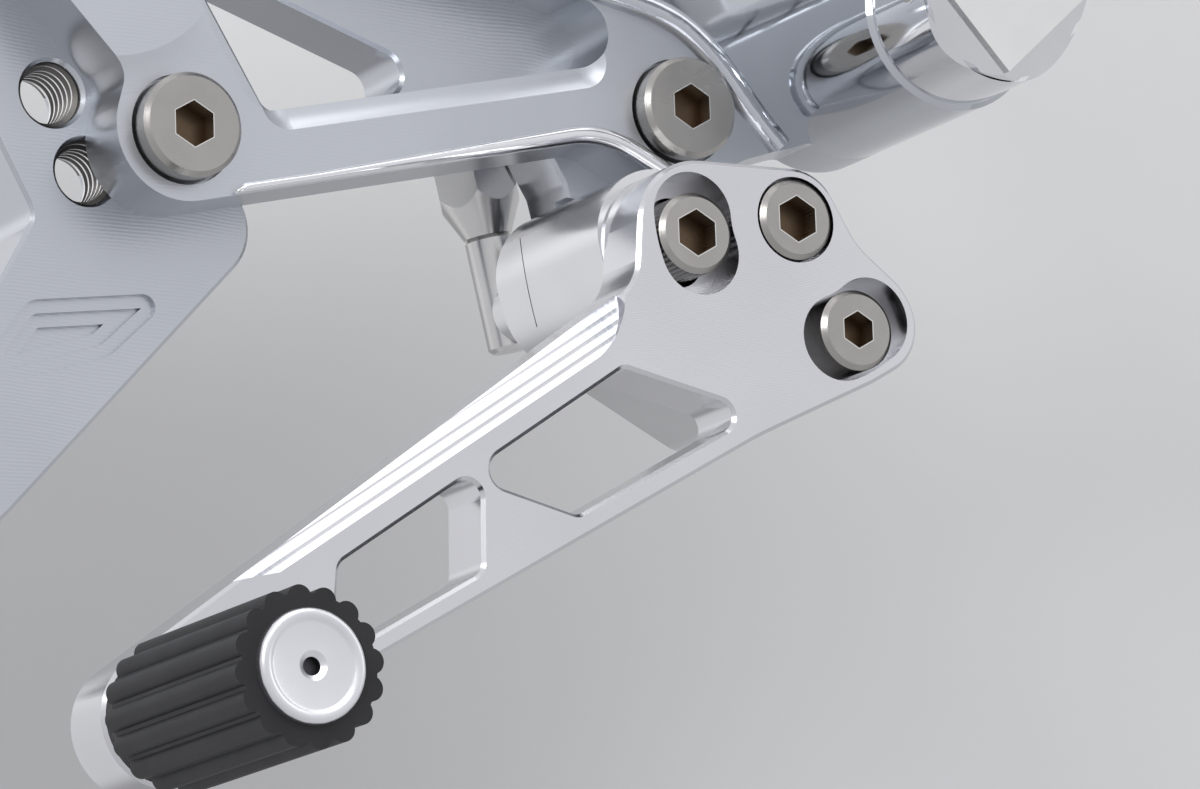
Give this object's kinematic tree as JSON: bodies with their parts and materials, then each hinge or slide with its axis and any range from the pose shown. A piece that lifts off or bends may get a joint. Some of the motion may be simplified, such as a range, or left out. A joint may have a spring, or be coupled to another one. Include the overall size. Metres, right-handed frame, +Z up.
{
  "type": "motorcycle rear set with gear lever",
  "caption": "Left-hand motorcycle rear set: milled base plate and footpeg carrier, folding footpeg, and a pivoting gear lever with rubber toe peg and shift link.",
  "frame": {"origin": "axis of the upper free threaded hole of the base plate, at the plate's back face", "axes": "+X towards the rear of the motorcycle, +Z up, -Y away from the motorcycle towards the rider's foot"},
  "size_m": [0.1649, 0.0973, 0.1316],
  "materials": {
    "satin": "fine milled aluminium",
    "turned": "smooth turned aluminium",
    "steel": "plain stainless steel",
    "bush": "plain bronze bush",
    "grip": "matte black rubber"
  },
  "bodies": {
    "base": {"base_plate": "satin", "frame_spacer_upper": "turned", "frame_spacer_lower": "turned", "carrier_plate": "satin", "carrier_screw_front": "steel", "carrier_screw_rear": "steel", "carrier_screw_top": "steel", "peg_collar": "turned", "peg_stop": "steel", "peg_bolt": "steel", "footpeg_pin": "steel", "pivot_pin": "steel", "pivot_clip": "steel"},
    "lever": {"lever_arm": "satin", "lever_hub": "turned", "hub_cover": "turned", "pivot_bush_inner": "bush", "pivot_bush_outer": "bush", "lever_screw_upper": "steel", "lever_screw_middle": "steel", "lever_screw_lower": "steel", "toe_rubber": "grip", "toe_spindle": "turned", "toe_cap": "turned", "toe_screw": "steel", "link_pin": "steel", "link_spacer": "turned"},
    "link": {"link_rod": "turned", "link_coupler": "turned", "link_stud": "steel", "link_nut": "steel", "link_eye": "steel", "link_ball": "steel"},
    "peg": {"footpeg": "turned", "footpeg_cap": "turned", "footpeg_cap_screw": "steel"}
  },
  "joints": [
    {"name": "lever_pivot", "type": "hinge", "parent": "base", "child": "lever", "pos_m": [0.0632, -0.02, -0.0635], "axis": [0, -1, 0], "range_deg": [-8, 8]},
    {"name": "link_pivot", "type": "hinge", "parent": "lever", "child": "link", "pos_m": [0.0506, 0.0054, -0.0516], "axis": [0, -1, 0], "range_deg": [-8, 8]},
    {"name": "footpeg_fold", "type": "hinge", "parent": "base", "child": "peg", "pos_m": [0.098, -0.0536, -0.03735], "axis": [1, 0, 0], "range_deg": [0, 90]}
  ]
}
